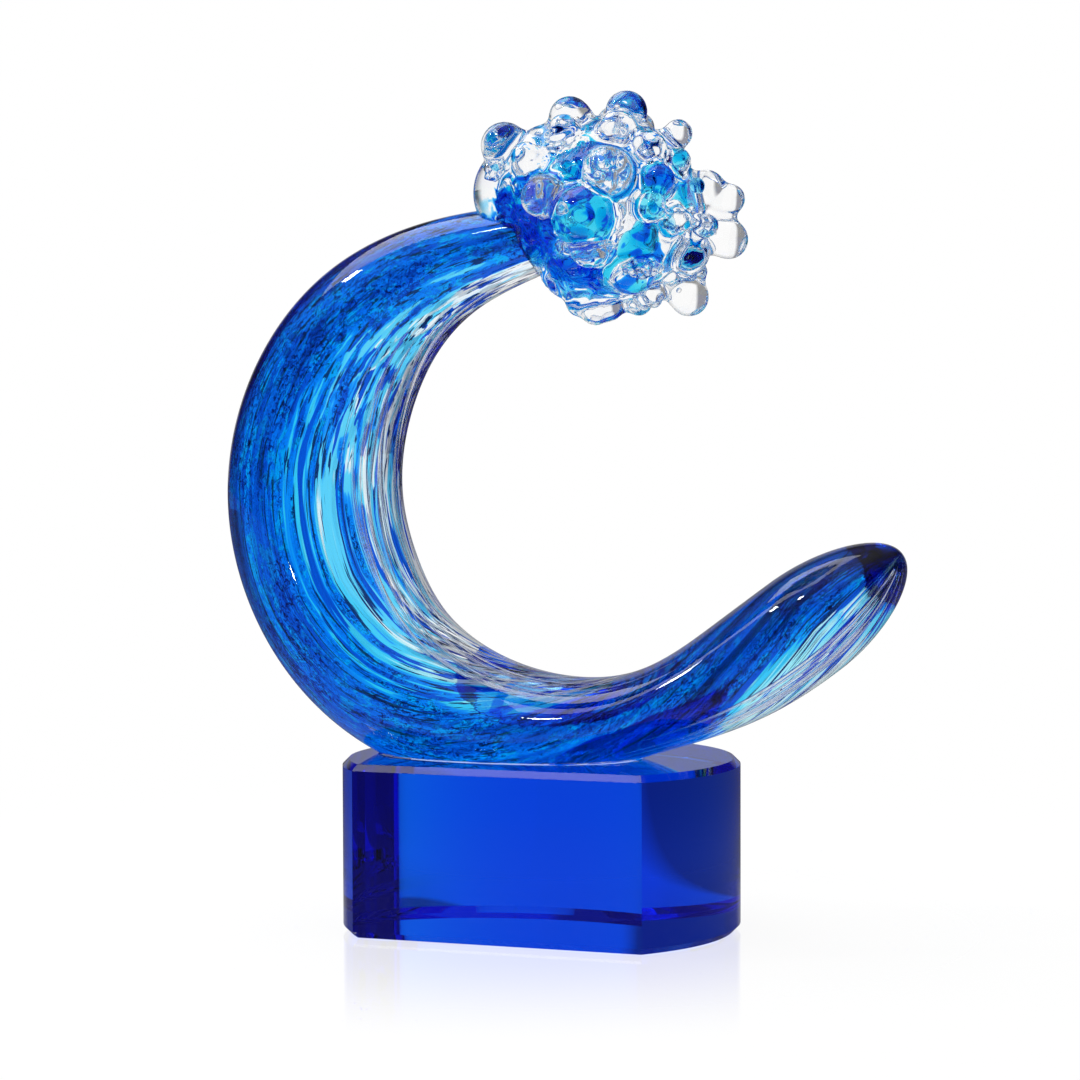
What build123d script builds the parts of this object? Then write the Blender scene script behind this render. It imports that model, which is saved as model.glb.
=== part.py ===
from build123d import *
import math
import os

# A wave of cased glass on a cobalt crystal block. Millimetres, +Z up.
# The origin is on the underside of the block, on the axis of its round wall.
# The flat front of the block faces -Y and the wave curls in the XZ plane.

# Crystal block: a round block with one flat ground across its front
base_radius = 50.0
base_flat_reach = 33.0
base_height = 43.0
base_bevel = 1.6

# Clear cement between the block and the ground foot of the wave
glue_thickness = 0.3

# Wave: the sizes that its station shares follow
wave_reach = 93.0
wave_rise = 122.0
wave_half_thickness = 22.7
wave_half_depth = 24.5
tip_length_share = 0.1
tip_end_share = 0.07
tip_steps = 5

# Stations from the neck, under the crest, round the belly to the tail:
# along X as a share of the reach, above the lowest one as a share of the rise,
# half thickness and half depth as shares of the largest ones
wave_station_shares = (
    (-0.011, 1.000, 0.39, 0.50),
    (-0.275, 0.940, 0.57, 0.57),
    (-0.482, 0.832, 0.80, 0.70),
    (-0.620, 0.668, 0.95, 0.81),
    (-0.666, 0.475, 1.00, 0.90),
    (-0.605, 0.282, 0.97, 0.95),
    (-0.456, 0.122, 0.86, 0.98),
    (-0.226, 0.023, 0.73, 0.99),
    (0.033, 0.000, 0.55, 0.985),
    (0.305, 0.035, 0.47, 0.96),
    (0.554, 0.121, 0.57, 0.92),
    (0.775, 0.238, 0.59, 0.87),
    (0.997, 0.367, 0.54, 0.82),
)

# The foot is ground away up to this share of the half thickness below the
# centreline at the lowest station
foot_ground_share = 0.6

# Coloured gathers inside the clear casing, as shares of the wave's own section.
# The blue core lies to one side of it, and that side turns from the back of the
# curl, past the front, to the top of the tail (degrees, one for each station).
veil_share = 0.84
veil_tail_share = 0.96
core_thickness_share = 0.46
core_depth_share = 0.66
core_offset_share = 0.34
core_side_share = 0.16
core_tail_share = 0.90
core_turns = (0, 0, 0, 0, 0, 0, 8, 25, 50, 85, 125, 155, 170)

# Crest: gathers of glass dropped one over another on the end of the neck.
# Its centre stands out and up from the neck's end by shares of its radius.
# Each row: centre along X and Z from the crest's centre, radius, all as shares
# of the crest's radius, and the same for the coloured lump inside
crest_radius = 22.5
crest_out_share = 0.71
crest_up_share = 0.33
crest_gather_shares = (
    (-0.40, 0.15, 0.80),
    (0.16, 0.00, 0.98),
    (-0.84, 0.18, 0.58),
    (-0.09, -0.42, 0.65),
)
lump_gather_shares = (
    (-0.40, 0.12, 0.60),
    (0.16, 0.00, 0.74),
)

# Foam drops: turn about the vertical from +X and tilt up from level, in degrees,
# then ball centre and ball radius as shares of the crest's and the drop's radius
drop_radius = 5.0
drop_root_depth_share = 0.9
drop_root_share = 0.8
foam_drop_shares = (
    # Seen from the front, along the top and the right rim
    (-160, 34, 1.22, 1.20),
    (-145, 73, 1.03, 1.06),
    (-3, 71, 1.10, 1.06),
    (9, 41, 1.21, 0.74),
    (13, 9, 1.23, 0.96),
    (13, 3, 1.48, 0.76),
    (14, -14, 1.50, 1.00),
    (16, -44, 1.42, 1.00),
    (19, -66, 1.15, 0.68),
    (123, -88, 1.12, 0.82),
    (-175, -79, 1.08, 0.64),
    (31, -83, 1.10, 0.76),
    # Seen from the front, on the face of the crest
    (-40, -3, 1.18, 0.64),
    (-23, -9, 1.24, 0.64),
    (0, -26, 1.20, 1.00),
    (-13, 24, 1.14, 0.70),
    (-33, 32, 1.12, 0.86),
    (-7, -10, 1.36, 0.60),
    (-64, 18, 1.06, 1.20),
    (-106, 3, 1.04, 1.00),
    (-79, -9, 0.98, 1.50),
    (-76, -29, 1.04, 0.92),
    (-38, -45, 1.00, 1.26),
    (-103, 51, 1.04, 0.80),
    (-49, 51, 1.02, 1.02),
    (-124, 28, 1.06, 0.86),
    (0, -56, 1.18, 0.50),
    (40, -56, 1.22, 0.46),
    (16, -32, 1.34, 0.44),
    (-34, 12, 1.16, 0.78),
    # Round the back
    (45, 27, 1.06, 0.96),
    (48, -6, 1.16, 1.10),
    (44, -36, 1.12, 0.90),
    (72, 50, 1.06, 0.80),
    (78, 14, 1.08, 1.12),
    (80, -20, 1.07, 0.92),
    (72, -55, 1.06, 0.78),
    (108, 36, 1.07, 1.04),
    (112, 0, 1.06, 0.84),
    (110, -33, 1.06, 1.08),
    (136, 44, 1.00, 0.86),
    (138, 22, 1.10, 0.80),
    (50, 58, 1.06, 0.78),
    (62, 78, 1.00, 0.66),
    (150, -58, 0.98, 0.72),
    (165, 33, 1.20, 0.88),
)

station_count = len(wave_station_shares)
thickness_shares = [row[2] for row in wave_station_shares]
depth_shares = [row[3] for row in wave_station_shares]

foot_z = base_height + glue_thickness
lowest_station = min(range(station_count), key=lambda row: wave_station_shares[row][1])
lowest_thickness = thickness_shares[lowest_station] * wave_half_thickness
lowest_z = foot_z + foot_ground_share * lowest_thickness
wave_points = [
    Vector(x_share * wave_reach, 0, lowest_z + z_share * wave_rise)
    for x_share, z_share, thickness_share, depth_share in wave_station_shares
]
crest_centre = wave_points[0] + Vector(crest_out_share, 0, crest_up_share) * crest_radius

with BuildLine() as wave_line:
    Spline(*wave_points)
wave_path = wave_line.edge()


def between(shares, place):
    """Read a table of stations at a place from 0, the neck, to 1, the tail."""
    position = place * (station_count - 1)
    first = min(int(position), station_count - 2)
    part_way = position - first
    return shares[first] * (1 - part_way) + shares[first + 1] * part_way


def wave_sections(thickness_fit, depth_fit, tail_share, offset_share=0, side_share=0):
    """Return the elliptical sections of one layer of the wave, neck to tail."""
    places = []
    for station in range(station_count):
        place = station / (station_count - 1)
        if place < tail_share - tip_length_share:
            places.append((place, 1))
    for step in range(tip_steps + 1):
        angle = math.acos(tip_end_share) * step / tip_steps
        place = tail_share - tip_length_share + tip_length_share * math.sin(angle)
        places.append((place, math.cos(angle)))
    sections = []
    for place, tip_fit in places:
        thickness = wave_half_thickness * between(thickness_shares, place)
        depth = wave_half_depth * between(depth_shares, place)
        turn = math.radians(between(core_turns, place))
        section_plane = Plane(
            origin=wave_path @ place,
            x_dir=(0, 1, 0),
            z_dir=wave_path % place,
        )
        side = -side_share * depth * math.sin(turn)
        inward = -offset_share * thickness * math.cos(turn)
        with BuildSketch(section_plane) as section:
            with Locations((side, inward)):
                Ellipse(
                    depth * depth_fit * tip_fit,
                    thickness * thickness_fit * tip_fit,
                )
        sections.append(section.sketch)
    return sections


with BuildPart() as base_block:
    with BuildSketch():
        Circle(base_radius)
        with Locations((0, -base_flat_reach)):
            Rectangle(
                2 * base_radius,
                base_radius,
                align=(Align.CENTER, Align.MAX),
                mode=Mode.SUBTRACT,
            )
    extrude(amount=base_height)
    chamfer(base_block.edges().group_by(Axis.Z)[0], base_bevel)
    chamfer(base_block.edges().group_by(Axis.Z)[-1], base_bevel)
base_block.part.label = "base_block"

# The whole outside of the wave, with the foot ground flat
with BuildPart() as wave_outside:
    loft(wave_sections(1, 1, 1))
    split(bisect_by=Plane.XY.offset(foot_z), keep=Keep.TOP)

# The whole of the coloured gathers, which the grinding of the foot cuts into
with BuildPart() as wave_colours:
    loft(wave_sections(veil_share, veil_share, veil_tail_share))
    split(bisect_by=Plane.XY.offset(foot_z), keep=Keep.TOP)

with BuildPart() as wave_core:
    loft(
        wave_sections(
            core_thickness_share,
            core_depth_share,
            core_tail_share,
            core_offset_share,
            core_side_share,
        )
    )
    split(bisect_by=Plane.XY.offset(foot_z), keep=Keep.TOP)
wave_core.part.label = "wave_core"

with BuildPart() as wave_veil:
    add(wave_colours.part)
    add(wave_core.part, mode=Mode.SUBTRACT)
wave_veil.part.label = "wave_veil"

with BuildPart() as wave_casing:
    add(wave_outside.part)
    add(wave_colours.part, mode=Mode.SUBTRACT)
wave_casing.part.label = "wave_casing"

# The cement covers the ground foot
with BuildPart() as glue_film:
    foot_face = wave_outside.faces().filter_by(Axis.Z).sort_by(Axis.Z)[0]
    extrude(foot_face, amount=glue_thickness, dir=(0, 0, -1))
glue_film.part.label = "glue_film"


def place_gathers(gather_shares):
    """Return the centre and the radius of each gather of the crest."""
    gathers = []
    for x_share, z_share, radius_share in gather_shares:
        centre = crest_centre + Vector(x_share, 0, z_share) * crest_radius
        gathers.append((centre, radius_share * crest_radius))
    return gathers


with BuildPart() as crest_outside:
    for centre, radius in place_gathers(crest_gather_shares):
        with Locations(centre):
            Sphere(radius)

with BuildPart() as crest_lump:
    for centre, radius in place_gathers(lump_gather_shares):
        with Locations(centre):
            Sphere(radius)
    add(wave_outside.part, mode=Mode.SUBTRACT)
crest_lump.part.label = "crest_lump"

with BuildPart() as crest_casing:
    add(crest_outside.part)
    add(crest_lump.part, mode=Mode.SUBTRACT)
    add(wave_outside.part, mode=Mode.SUBTRACT)
crest_casing.part.label = "crest_casing"

# Whole drops first: a ball drawn down to a narrower root inside the crest
whole_drops = []
for turn, tilt, reach_share, size_share in foam_drop_shares:
    direction = Vector(1, 0, 0).rotate(Axis.Y, -tilt).rotate(Axis.Z, turn)
    ball_radius = size_share * drop_radius
    ball_reach = reach_share * crest_radius
    root_reach = ball_reach - (1 + drop_root_depth_share) * ball_radius
    drop_plane = Plane(
        origin=crest_centre,
        x_dir=direction,
        z_dir=direction.cross(Vector(0, 0, 1)),
    )
    with BuildPart() as whole_drop:
        with BuildSketch(drop_plane):
            with Locations((ball_reach, 0)):
                Circle(ball_radius)
            with Locations((root_reach, 0)):
                Circle(drop_root_share * ball_radius)
            make_hull()
            split(bisect_by=Plane.XZ, keep=Keep.TOP)
        revolve(axis=Axis(crest_centre, direction))
    whole_drops.append((whole_drop.part, crest_centre + direction * ball_reach, ball_radius))

# Each drop seats on the crest and against the drops that were there before it
foam_drops = []
for number, (whole_part, centre, radius) in enumerate(whole_drops):
    with BuildPart() as foam_drop:
        add(whole_part)
        add(crest_outside.part, mode=Mode.SUBTRACT)
        for earlier_part, earlier_centre, earlier_radius in whole_drops[:number]:
            spread = (1 + drop_root_depth_share) * (radius + earlier_radius)
            if (centre - earlier_centre).length < spread:
                add(earlier_part, mode=Mode.SUBTRACT)
    foam_drop.part.label = f"foam_drop_{number + 1:02d}"
    foam_drops.append(foam_drop.part)

os.makedirs("parts", exist_ok=True)
pieces = [
    base_block.part,
    glue_film.part,
    wave_casing.part,
    wave_veil.part,
    wave_core.part,
    crest_lump.part,
    crest_casing.part,
] + foam_drops
for piece in pieces:
    export_step(piece, f"parts/{piece.label}.step")
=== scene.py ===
"""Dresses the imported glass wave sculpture: cased glass, foam drops, crystal block and stage."""

import math
import random

import bmesh
import bpy
import numpy as np
from mathutils import Matrix, Quaternion, Vector, noise


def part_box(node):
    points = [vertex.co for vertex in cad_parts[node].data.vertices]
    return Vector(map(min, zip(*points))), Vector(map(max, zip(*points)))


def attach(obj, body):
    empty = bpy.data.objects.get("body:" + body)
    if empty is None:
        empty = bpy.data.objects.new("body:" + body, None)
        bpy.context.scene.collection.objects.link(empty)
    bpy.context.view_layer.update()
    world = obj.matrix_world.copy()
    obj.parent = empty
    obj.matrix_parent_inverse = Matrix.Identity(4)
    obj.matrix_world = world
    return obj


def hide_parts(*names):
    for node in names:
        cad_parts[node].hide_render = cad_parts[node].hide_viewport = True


bl_info = {
    "name": "Glass Wave Sculpture",
    "version": (1, 0, 0),
    "blender": (4, 5, 0),
    "location": "3D View > Sidebar > Glass Wave",
    "description": "Builds a cased glass wave with a foam crest on a cobalt crystal block",
    "category": "Add Mesh",
}

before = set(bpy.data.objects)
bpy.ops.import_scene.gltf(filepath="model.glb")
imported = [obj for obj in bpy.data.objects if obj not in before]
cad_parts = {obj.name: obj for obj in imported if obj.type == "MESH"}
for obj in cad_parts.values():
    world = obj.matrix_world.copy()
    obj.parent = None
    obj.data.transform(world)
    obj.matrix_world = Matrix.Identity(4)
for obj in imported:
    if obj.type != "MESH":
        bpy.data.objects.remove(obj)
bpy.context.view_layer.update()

MM = 0.001

# The wave's stations, as in the part: along X, above the lowest one, half
# thickness and half depth, all as shares of the wave's largest sizes
WAVE_STATION_SHARES = (
    (-0.011, 1.000, 0.39, 0.50),
    (-0.275, 0.940, 0.57, 0.57),
    (-0.482, 0.832, 0.80, 0.70),
    (-0.620, 0.668, 0.95, 0.81),
    (-0.666, 0.475, 1.00, 0.90),
    (-0.605, 0.282, 0.97, 0.95),
    (-0.456, 0.122, 0.86, 0.98),
    (-0.226, 0.023, 0.73, 0.99),
    (0.033, 0.000, 0.55, 0.985),
    (0.305, 0.035, 0.47, 0.96),
    (0.554, 0.121, 0.57, 0.92),
    (0.775, 0.238, 0.59, 0.87),
    (0.997, 0.367, 0.54, 0.82),
)
# How far the blue side has turned at each station, in degrees
GATHER_TURNS = (0, 0, 0, 0, 0, 0, 8, 25, 50, 85, 125, 155, 170)
# The side that the piece is shown from: away from it, across the curl
SHOW_SIDE = (0.347, -0.937, 0.043)
# Where the cobalt lies round the wave: place from neck to tail, the angles where
# it starts and ends (0 on the show side, more towards the inside of the curl), how
# far aqua reaches past its start and its end, in degrees, and how deep it gets
COBALT_LAY = (
    (0.00, -125, 34, 10, 8, 0.40),
    (0.08, -125, 27, 10, 12, 0.40),
    (0.16, -122, 4, 10, 58, 0.40),
    (0.24, -118, -14, 10, 80, 0.40),
    (0.34, -118, -15, 10, 86, 0.40),
    (0.48, -118, -8, 10, 74, 0.40),
    (0.56, -120, 6, 10, 42, 0.40),
    (0.64, -122, 28, 10, 16, 0.40),
    (0.72, -115, 46, 8, 10, 0.44),
    (0.78, -70, 110, 6, 10, 0.55),
    (0.84, -14, 130, 4, 10, 0.80),
    (0.92, -2, 150, 4, 10, 0.95),
    (1.00, 2, 190, 4, 10, 0.85),
)
# Threads of air: how many, between which places along the wave and which angles
# round it, and how deep, as shares of the section
AIR_THREADS = (
    (22, 0.08, 0.56, 44, 76, (0.86, 0.94)),
    (8, 0.20, 0.50, 20, 44, (0.86, 0.93)),
    (12, 0.52, 0.70, 40, 70, (0.86, 0.94)),
    (14, 0.86, 0.94, -74, -26, (0.86, 0.94)),
)
LOWEST_STATION = min(range(13), key=lambda row: WAVE_STATION_SHARES[row][1])
FOOT_GROUND_SHARE = 0.6
TIP_SHARE = 0.1

# The crest's gathers: centre along X and Z and radius, as shares of its radius
CREST_OUT_SHARE = 0.71
CREST_UP_SHARE = 0.33
CREST_GATHER_SHARES = (
    (-0.40, 0.15, 0.80),
    (0.16, 0.00, 0.98),
    (-0.84, 0.18, 0.58),
    (-0.09, -0.42, 0.65),
)

# Where the neck's cobalt runs into the crest, as shares of its radius
CREST_COBALT_SEAT = (-0.45, -0.50, -0.05)

# Colours inside the crest: centre along X, Y, Z and radius as shares of the
# crest's radius, then the colour's name
CREST_COLOUR_SHARES = (
    (-0.78, -0.34, 0.10, 0.15, "cobalt"),
    (-0.58, -0.46, -0.16, 0.20, "cobalt"),
    (-0.50, -0.42, 0.10, 0.16, "cobalt"),
    (-0.28, -0.52, -0.12, 0.20, "cobalt"),
    (0.08, -0.54, -0.06, 0.12, "cobalt"),
    (0.66, -0.50, -0.36, 0.19, "cobalt"),
    (0.52, -0.50, -0.44, 0.12, "cobalt"),
    (0.80, -0.46, 0.18, 0.14, "cobalt"),
    (0.84, -0.50, 0.00, 0.09, "cobalt"),
    (1.08, -0.30, 0.50, 0.09, "cobalt"),
    (0.10, -0.50, 0.48, 0.14, "cobalt"),
    (-0.14, -0.46, 0.42, 0.11, "cobalt"),
    (-0.20, 0.50, 0.26, 0.20, "cobalt"),
    (0.46, 0.52, 0.06, 0.17, "cobalt"),
    (0.20, 0.46, -0.44, 0.16, "cobalt"),
    (0.76, 0.36, 0.36, 0.12, "cobalt"),
    (-0.62, 0.30, 0.02, 0.20, "cobalt"),
    (-0.22, -0.44, -0.62, 0.21, "aqua"),
    (0.02, -0.46, -0.68, 0.22, "aqua"),
    (0.22, -0.40, -0.80, 0.14, "aqua"),
    (-0.52, -0.30, -0.42, 0.22, "aqua"),
    (-0.30, -0.60, 0.02, 0.13, "aqua"),
    (0.44, -0.30, 0.90, 0.07, "aqua"),
    (1.00, -0.46, -0.18, 0.09, "aqua"),
    (1.24, -0.24, 0.14, 0.08, "aqua"),
    (1.28, -0.20, -0.32, 0.08, "aqua"),
    (-0.98, -0.22, 0.44, 0.08, "aqua"),
    (0.06, 0.02, 0.30, 0.16, "aqua"),
    (-0.16, 0.40, -0.40, 0.22, "aqua"),
    (-0.50, 0.38, 0.44, 0.16, "aqua"),
    (0.66, 0.20, -0.44, 0.14, "aqua"),
)

# Air shut in behind the flattened drops: centre and half sizes along X, Y and Z,
# as shares of the crest's radius, and how crumpled each is
CREST_AIR_SHARES = (
    (-0.29, -0.80, 0.08, 0.22, 0.035, 0.19, 0.034),
    (0.16, -0.79, -0.46, 0.36, 0.035, 0.10, 0.034),
    (0.44, -0.80, 0.33, 0.22, 0.035, 0.20, 0.034),
    (0.72, -0.48, -0.70, 0.22, 0.035, 0.09, 0.030),
    (-1.00, -0.44, 0.42, 0.16, 0.030, 0.15, 0.030),
    (-0.10, 0.86, 0.10, 0.20, 0.035, 0.16, 0.034),
    (0.40, 0.82, -0.20, 0.14, 0.035, 0.20, 0.034),
    (0.62, -0.62, 0.02, 0.035, 0.035, 0.035, 0.0),
    (0.02, -0.86, -0.10, 0.040, 0.040, 0.040, 0.0),
    (0.98, -0.30, 0.24, 0.035, 0.035, 0.035, 0.0),
    (-0.10, -0.36, 0.94, 0.035, 0.035, 0.035, 0.0),
    (0.30, -0.10, 1.06, 0.030, 0.030, 0.030, 0.0),
    (1.30, 0.20, -0.30, 0.030, 0.030, 0.030, 0.0),
    (0.90, 0.20, -0.92, 0.030, 0.030, 0.030, 0.0),
)


# Colours, nodes and small tools


def linear(hex_colour):
    """Turn an sRGB hex colour into linear red, green and blue."""
    parts = [int(hex_colour[i : i + 2], 16) / 255 for i in (1, 3, 5)]
    return tuple(c / 12.92 if c <= 0.04045 else ((c + 0.055) / 1.055) ** 2.4 for c in parts)


def rgba(colour):
    return (*tuple(colour)[:3], 1)


def add_node(tree, kind, settings=None, **links):
    """Add a node, set its attributes and link or fill its inputs by name or number."""
    new = tree.nodes.new(kind)
    for name, value in (settings or {}).items():
        setattr(new, name, value)
    for name, value in links.items():
        key = int(name[1:]) if name[0] == "i" and name[1:].isdigit() else name.replace("_", " ")
        socket = new.inputs[key]
        if isinstance(value, bpy.types.NodeSocket):
            tree.links.new(value, socket)
        else:
            socket.default_value = value
    return new


def new_material(name):
    material = bpy.data.materials.new(name)
    material.use_nodes = True
    material.node_tree.nodes.clear()
    return material, material.node_tree


def ramp(tree, factor, stops):
    new = add_node(tree, "ShaderNodeValToRGB", Fac=factor)
    elements = new.color_ramp.elements
    while len(elements) < len(stops):
        elements.new(0.5)
    for element, (place, colour) in zip(elements, stops):
        element.position = place
        element.color = rgba(colour)
    return new.outputs["Color"]


def start_clean():
    """Leave edit mode and deselect everything."""
    if bpy.context.object and bpy.context.object.mode != "OBJECT":
        bpy.ops.object.mode_set(mode="OBJECT")
    bpy.ops.object.select_all(action="DESELECT")


def only(obj):
    start_clean()
    obj.select_set(True)
    bpy.context.view_layer.objects.active = obj


def settle(obj, name):
    """Name a piece and put its place into its mesh."""
    only(obj)
    bpy.ops.object.transform_apply(location=True, rotation=True, scale=True)
    obj.name = name
    obj.data.name = name
    return obj


def face_out(obj):
    only(obj)
    bpy.ops.object.mode_set(mode="EDIT")
    bpy.ops.mesh.select_all(action="SELECT")
    bpy.ops.mesh.normals_make_consistent(inside=False)
    bpy.ops.object.mode_set(mode="OBJECT")


def cut_below(obj, height):
    """Grind a piece flat at a height and close the cut."""
    only(obj)
    bpy.ops.object.mode_set(mode="EDIT")
    bpy.ops.mesh.select_all(action="SELECT")
    bpy.ops.mesh.bisect(
        plane_co=(0, 0, height), plane_no=(0, 0, 1), use_fill=True, clear_inner=True
    )
    bpy.ops.object.mode_set(mode="OBJECT")


def put_modifier(obj, kind, **settings):
    only(obj)
    modifier = obj.modifiers.new(kind.title(), kind)
    for name, value in settings.items():
        setattr(modifier, name, value)
    bpy.ops.object.modifier_apply(modifier=modifier.name)


def read_points(obj):
    points = np.empty(len(obj.data.vertices) * 3)
    obj.data.vertices.foreach_get("co", points)
    return points.reshape(-1, 3)


def write_points(obj, points):
    obj.data.vertices.foreach_set("co", np.ascontiguousarray(points, dtype=float).ravel())
    obj.data.update()


# The wave's line and sections


def spline(knots, values, at):
    """Read a natural cubic through a table, at places along its knots."""
    knots = np.asarray(knots, float)
    values = np.asarray(values, float)
    gap = np.diff(knots)
    count = len(knots)
    matrix = np.eye(count)
    right = np.zeros(count)
    slope = np.diff(values) / gap
    for i in range(1, count - 1):
        matrix[i, i - 1 : i + 2] = gap[i - 1], 2 * (gap[i - 1] + gap[i]), gap[i]
        right[i] = 6 * (slope[i] - slope[i - 1])
    bend = np.linalg.solve(matrix, right)
    at = np.asarray(at, float)
    k = np.clip(np.searchsorted(knots, at, side="right") - 1, 0, count - 2)
    a = (knots[k + 1] - at) / gap[k]
    b = (at - knots[k]) / gap[k]
    return (
        a * values[k]
        + b * values[k + 1]
        + ((a**3 - a) * bend[k] + (b**3 - b) * bend[k + 1]) * gap[k] ** 2 / 6
    )


class WaveLine:
    """The middle line of the wave, and its sections by place from neck to tail."""

    def __init__(self, sizes):
        shares = np.array(WAVE_STATION_SHARES)
        self.sizes = sizes
        lowest = shares[LOWEST_STATION, 2] * sizes.half_thickness
        low_z = sizes.foot_height + FOOT_GROUND_SHARE * lowest
        x = shares[:, 0] * sizes.reach
        z = low_z + shares[:, 1] * sizes.rise
        chord = np.concatenate([[0], np.cumsum(np.hypot(np.diff(x), np.diff(z)))])
        fine = np.linspace(0, chord[-1], 4001)
        self.x = spline(chord, x, fine)
        self.z = spline(chord, z, fine)
        run = np.concatenate([[0], np.cumsum(np.hypot(np.diff(self.x), np.diff(self.z)))])
        self.length = run[-1]
        self.place = run / run[-1]
        self.stations = np.linspace(0, 1, len(shares))
        self.shares = shares

    def at(self, place):
        x = np.interp(place, self.place, self.x)
        z = np.interp(place, self.place, self.z)
        tx = np.interp(place, self.place, np.gradient(self.x, self.place))
        tz = np.interp(place, self.place, np.gradient(self.z, self.place))
        size = np.hypot(tx, tz)
        return x, z, tx / size, tz / size

    def half_sizes(self, place):
        thick = spline(self.stations, self.shares[:, 2], place) * self.sizes.half_thickness
        deep = spline(self.stations, self.shares[:, 3], place) * self.sizes.half_depth
        return thick, deep

    def turn(self, place):
        return np.radians(np.interp(place, self.stations, GATHER_TURNS))

    def local(self, points):
        """Place along the wave, and offsets across it as shares of its section."""
        step = slice(None, None, 20)
        flat = points[:, None, [0, 2]] - np.stack([self.x[step], self.z[step]], -1)[None]
        nearest = np.argmin((flat**2).sum(-1), axis=1)
        place = self.place[step][nearest]
        x, z, tx, tz = self.at(place)
        thick, deep = self.half_sizes(place)
        inward = (points[:, 0] - x) * -tz + (points[:, 2] - z) * tx
        return place, points[:, 1] / deep, inward / thick


def make_gather(line, name, rings, segments, fit, tail, offset=0.0, side=0.0, ripple=None):
    """Shape a ball into one layer of the wave: rings run from the neck to the tail."""
    start_clean()
    bpy.ops.mesh.primitive_uv_sphere_add(segments=segments, ring_count=rings, radius=1)
    obj = bpy.context.object
    ball = read_points(obj)
    row = np.rint((np.arcsin(np.clip(ball[:, 2], -1, 1)) / math.pi + 0.5) * rings).astype(int)
    around = np.arctan2(ball[:, 1], ball[:, 0])
    fit_thick, fit_deep = fit
    end = 4
    tip = max(12, rings // 10)
    neck_close = (rings - end - tip) // 3
    middle = rings - end - tip - neck_close
    body = np.concatenate(
        [
            np.linspace(0, 0.15, neck_close, endpoint=False),
            np.linspace(0.15, tail - TIP_SHARE, middle, endpoint=False),
        ]
    )
    swing = np.linspace(0, math.pi / 2, tip + 1)
    places = np.concatenate([np.zeros(end), body, tail - TIP_SHARE + TIP_SHARE * np.sin(swing)])
    fits = np.concatenate([np.arange(end) / end, np.ones(len(body)), np.cos(swing)])
    place = places[row]
    round_fit = fits[row]
    x, z, tx, tz = line.at(place)
    thick, deep = line.half_sizes(place)
    turn = line.turn(place)
    swell = np.ones(len(place))
    if ripple:
        swell = swell + ripple(place, around, turn)
    across = -side * deep * np.sin(turn) + deep * fit_deep * round_fit * swell * np.cos(around)
    inward = (
        -offset * thick * np.cos(turn) + thick * fit_thick * round_fit * swell * np.sin(around)
    )
    points = np.stack([x - tz * inward, across, z + tx * inward], -1)
    write_points(obj, points)
    # A pattern space that follows the glass as it was drawn out: across it in
    # metres on two axes, turned with the twist, and along it on the third
    radius = (thick * deep) ** 0.5
    drawn = np.stack(
        [
            radius * np.cos(around + turn),
            radius * np.sin(around + turn),
            place * line.length,
        ],
        -1,
    )
    drawn_attribute = obj.data.attributes.new("drawn", "FLOAT_VECTOR", "POINT")
    drawn_attribute.data.foreach_set("vector", drawn.ravel())
    show = np.degrees(np.arctan2(-tz * SHOW_SIDE[0] + tx * SHOW_SIDE[2], -SHOW_SIDE[1]))
    angle = (180 - np.degrees(around) - show + 180) % 360 - 180
    lay = np.array(COBALT_LAY, float)
    start, end_at, aqua_start, aqua_end, depth = (
        np.interp(place, lay[:, 0], lay[:, column]) for column in (1, 2, 3, 4, 5)
    )
    inside = np.minimum(angle - start, end_at - angle)
    reach = np.where(angle > (start + end_at) / 2, aqua_end, aqua_start)
    amount = np.where(
        inside > 0,
        0.60 + depth * np.clip(inside / 24, 0, 1),
        0.56 + 0.28 * np.clip(inside / reach, -1, 0) + 0.22 * np.clip((inside + reach) / 20, -1, 0),
    )
    # Painted light: streaks of opaque white, standing in for the bright backdrop bent through the clear
    # side, lie thickest under the neck and along the top of the low part
    white = np.interp(place, (0.0, 0.2, 0.3, 0.46, 0.54, 0.74, 0.80), (0.5, 0.5, 0.2, 0.3, 1, 1, 0))
    white = white * np.clip((angle - 24) / 20, 0, 1)
    for attribute, values in (
        ("blue", amount),
        ("white", white),
        ("shown", np.clip((140 - np.abs(angle)) / 20, 0, 1)),
    ):
        layer = obj.data.attributes.new(attribute, "FLOAT", "POINT")
        layer.data.foreach_set("value", values)
    face_out(obj)
    obj.name = name
    return obj


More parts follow.
